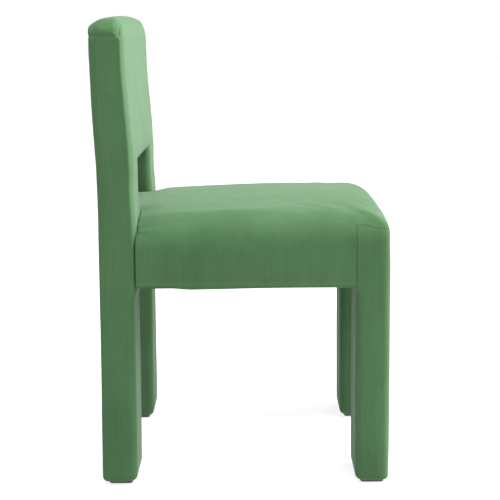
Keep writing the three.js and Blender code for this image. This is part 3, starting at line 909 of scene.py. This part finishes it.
def finish_of(name):
    """The finish of a CAD node, from the first of the words that its name holds."""
    return next((finish for word, finish in WORDS.items() if word in name), "timber")


def paint(piece, finish):
    piece.data.materials.clear()
    piece.data.materials.append(finishes[finish])


for piece in (rear, seat, *legs):
    paint(piece, "velvet")
paint(lining, "lining")
paint(staple_row, "steel")
for piece in [o for o in scene.objects if "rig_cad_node" in o]:
    for place in piece.material_slots:
        place.material = finishes[finish_of(piece["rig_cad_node"])]

# ---- Riding, replacing ----------------------------------------------------------------------

covers = {
    rear: (
        "left_rear_post_cover",
        "right_rear_post_cover",
        "inside_back_cover",
        "outside_back_cover",
        "back_foam",
        "left_rear_post_padding",
        "right_rear_post_padding",
    ),
    seat: ("seat_cover", "seat_foam"),
    legs[0]: ("left_front_leg_cover", "left_front_leg_padding"),
    legs[1]: ("right_front_leg_cover", "right_front_leg_padding"),
}
for piece, nodes in covers.items():
    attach(piece, "root")
    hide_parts(*nodes)

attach(lining, "root")
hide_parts("dust_cover")
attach(staple_row, "root")

# ---- Floor, lights, camera ------------------------------------------------------------------

scene.view_settings.view_transform = "Standard"

FLOOR_HALF = 30.0
FLOOR_HEIGHT = -0.5 * MM
FLOOR_GLOW = 0.78  # lifts the floor nearly to white


def floor_material():
    """Pale floor that is see-through from below, so that views from there show the underside."""
    n = Nodes("floor")
    n.set(Base_Color=(0.3, 0.3, 0.3, 1), Roughness=0.9)
    n.set(Emission_Color=(1, 1, 1, 1), Emission_Strength=FLOOR_GLOW)
    from_below = n.node("ShaderNodeNewGeometry").outputs["Backfacing"]
    clear = n.node("ShaderNodeBsdfTransparent").outputs[0]
    ground = n.node("ShaderNodeMixShader", {0: from_below, 1: n.shader.outputs[0], 2: clear})
    n.tree.links.new(ground.outputs[0], n.tree.nodes["Material Output"].inputs["Surface"])
    return n.material


floor_mesh = bpy.data.meshes.new("floor")
signs = ((-1, -1), (1, -1), (1, 1), (-1, 1))
floor_corners = [(FLOOR_HALF * x, FLOOR_HALF * y, FLOOR_HEIGHT) for x, y in signs]
floor_mesh.from_pydata(floor_corners, [], [(0, 1, 2, 3)])
floor_mesh.materials.append(floor_material())
floor = bpy.data.objects.new("floor", floor_mesh)
scene.collection.objects.link(floor)

world = bpy.data.worlds.new("studio")
scene.world = world
world.use_nodes = True
background = world.node_tree.nodes["Background"]
background.inputs["Color"].default_value = (1, 1, 1, 1)
background.inputs["Strength"].default_value = 1.0


def area_light(name, place, target, size, power):
    """A rectangular lamp aimed at a point, in metres and watts."""
    data = bpy.data.lights.new(name, "AREA")
    data.shape = "RECTANGLE"
    data.size, data.size_y = size
    data.energy = power
    light = bpy.data.objects.new(name, data)
    scene.collection.objects.link(light)
    light.location = place
    light.rotation_euler = (Vector(target) - Vector(place)).to_track_quat("-Z", "Y").to_euler()


area_light("front", (1.5, -6.3, 2.6), (0, 0, 0.4), (4.0, 4.0), 1010)
area_light("top", (-0.4, -0.4, 3.2), (0, 0, 0.4), (2.0, 2.0), 156)
area_light("side", (-4.5, -1.5, 0.3), (0, 0, 0.2), (2.5, 0.8), 64)

# The camera looks along +X at the chair's right side, from a little above.
FOCAL_WIDTHS = 2.437  # focal length in picture widths
SENSOR_WIDTH = 36  # millimetres
CAMERA_PITCH, CAMERA_ROLL = 7.87, -0.37  # degrees

camera_data = bpy.data.cameras.new("camera")
camera_data.sensor_width = SENSOR_WIDTH
camera_data.lens = FOCAL_WIDTHS * SENSOR_WIDTH
camera_data.shift_y = -0.10
camera = bpy.data.objects.new("camera", camera_data)
scene.collection.objects.link(camera)
scene.camera = camera
camera.location = (-2.258, -0.0153, 0.7751)
heading = Matrix.Rotation(math.radians(-90), 4, "Z")
pitch = Matrix.Rotation(math.radians(90 - CAMERA_PITCH), 4, "X")
roll = Matrix.Rotation(math.radians(CAMERA_ROLL), 4, "Z")
camera.rotation_euler = (heading @ pitch @ roll).to_euler()
